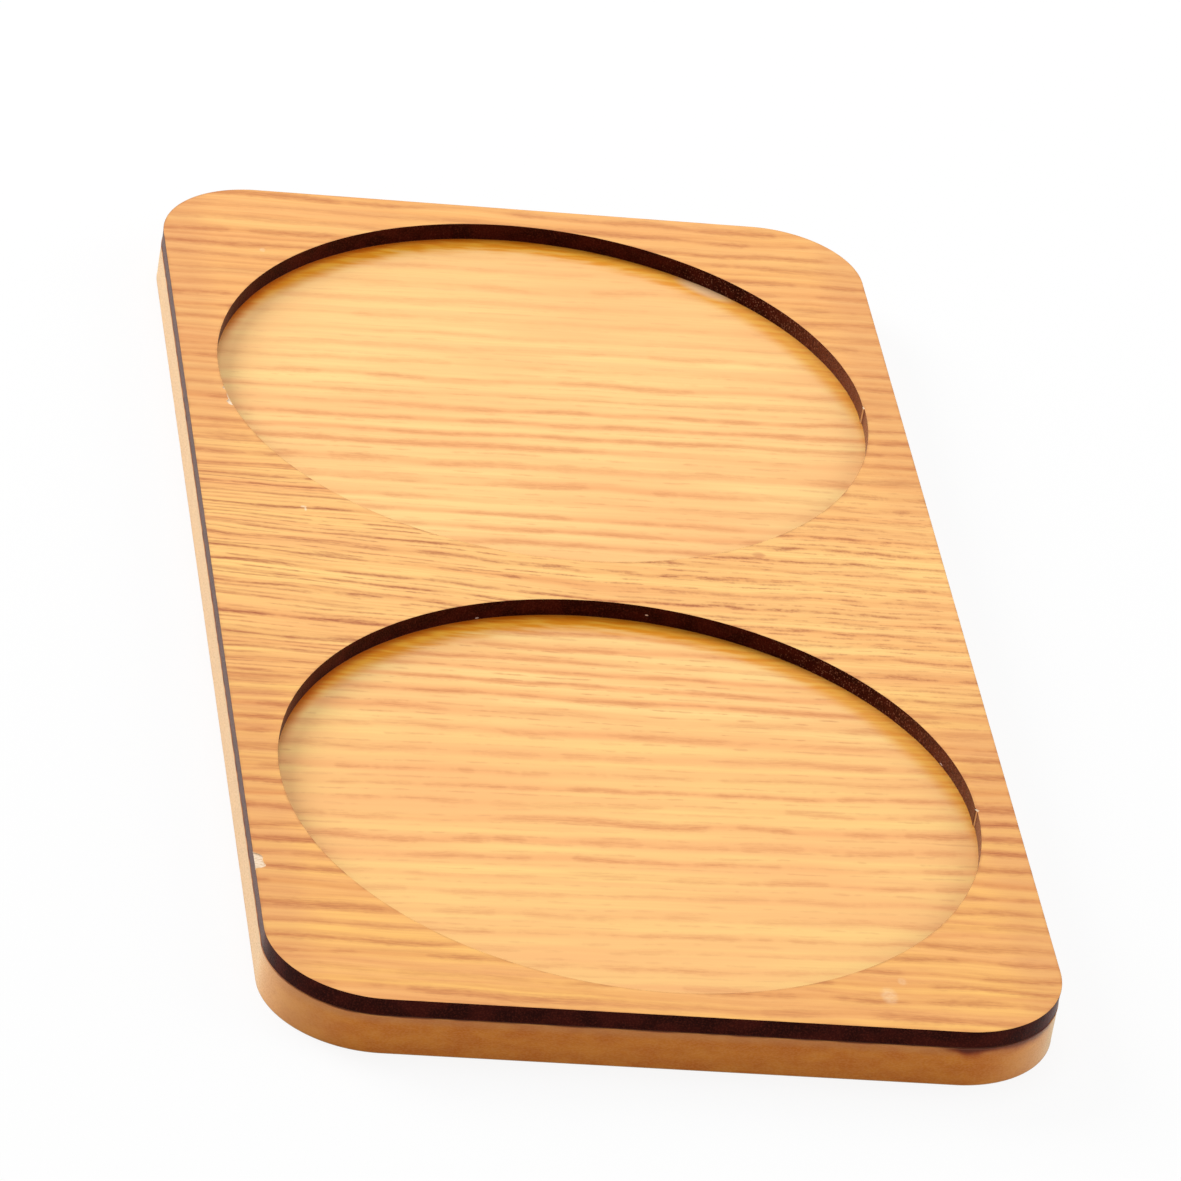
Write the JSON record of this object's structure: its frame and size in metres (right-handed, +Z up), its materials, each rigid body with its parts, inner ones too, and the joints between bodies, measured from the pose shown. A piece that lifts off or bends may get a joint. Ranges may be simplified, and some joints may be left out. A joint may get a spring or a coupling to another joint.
{
  "type": "drink coaster",
  "caption": "Flat oblong drink coaster with round recessed wells side by side, made of a dark-edged oak-print top panel glued on a fibre-board base.",
  "frame": {"origin": "centre of the underside, on the surface that the coaster lies on", "axes": "+X across the plate, +Y along its row of wells, +Z up out of the wells"},
  "size_m": [0.1, 0.2, 0.008],
  "materials": {
    "backing_foil": "matte",
    "fibre_board": "matte",
    "oak_foil_base": "satin",
    "adhesive": "matte",
    "charred_board": "matte",
    "oak_foil_top": "satin"
  },
  "bodies": {
    "root": {"base_back_foil": "backing_foil", "base_core": "fibre_board", "base_face_foil": "oak_foil_base", "adhesive_film": "adhesive", "top_core": "charred_board", "top_face_foil": "oak_foil_top"}
  },
  "joints": []
}
